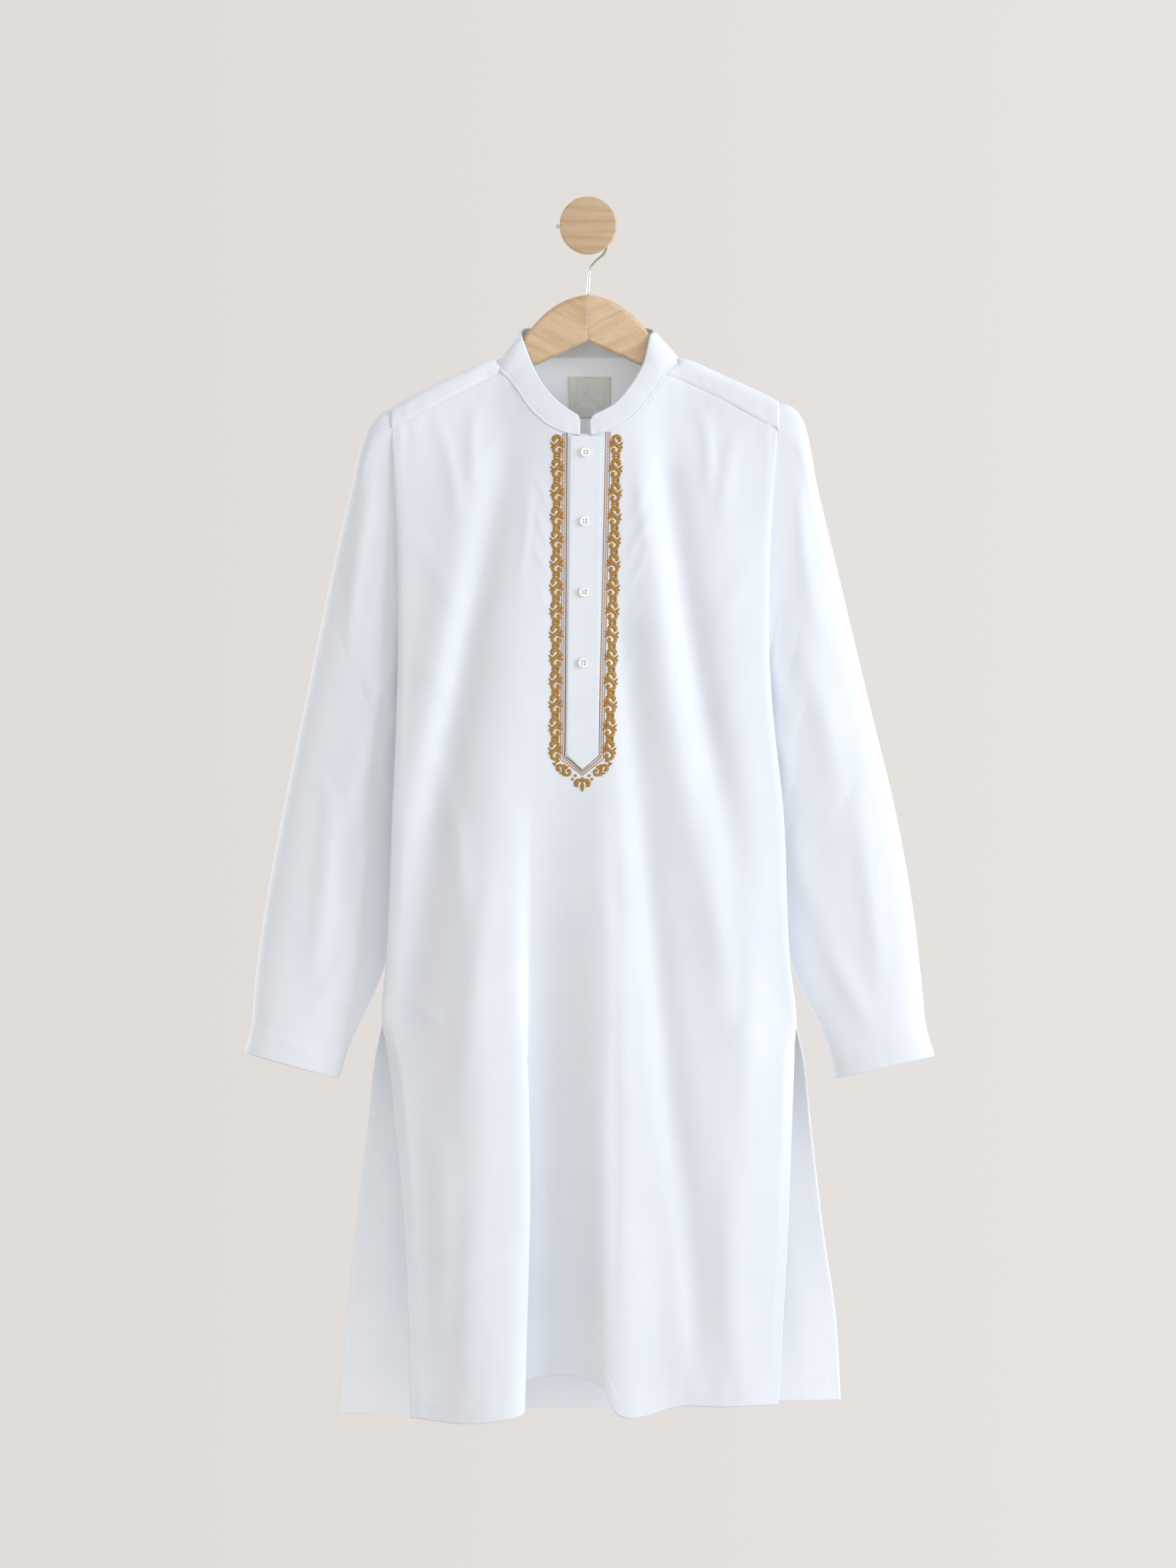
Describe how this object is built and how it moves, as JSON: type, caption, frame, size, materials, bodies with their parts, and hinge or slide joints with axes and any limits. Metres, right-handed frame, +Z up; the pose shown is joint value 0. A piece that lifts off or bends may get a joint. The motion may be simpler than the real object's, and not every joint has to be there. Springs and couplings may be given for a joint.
{
  "type": "kurta tunic on a wooden hanger and a wall peg",
  "caption": "Long-sleeved knee-length kurta tunic with a standing collar and a buttoned placket, hanging open at the hem from a wooden hanger on a round wall peg.",
  "frame": {"origin": "centre of the peg stem's flat back face, on the wall, which is the plane y = 0", "axes": "+Z up; +Y out of the room into the wall, so the tunic hangs in front of the wall at negative y; +X to the right as the tunic is seen from the front"},
  "size_m": [0.6888, 0.1108, 1.2152],
  "materials": {
    "cotton": "plain woven cotton, white, slightly sheened",
    "label_cloth": "woven satin tape, blank",
    "pearl_button": "polished, pearly white",
    "beech": "smooth, clear lacquered",
    "nickel": "bright nickel plated wire"
  },
  "bodies": {
    "root": {"front": "cotton", "back": "cotton", "yoke": "cotton", "collar": "cotton", "sleeve_left_front": "cotton", "sleeve_left_back": "cotton", "sleeve_right_front": "cotton", "sleeve_right_back": "cotton", "placket": "cotton", "button_1": "pearl_button", "button_2": "pearl_button", "button_3": "pearl_button", "button_4": "pearl_button", "label": "label_cloth", "hanger_left": "beech", "hanger_right": "beech", "hook": "nickel", "hook_tip": "nickel", "peg_stem": "beech", "peg_disc": "beech"}
  },
  "joints": []
}
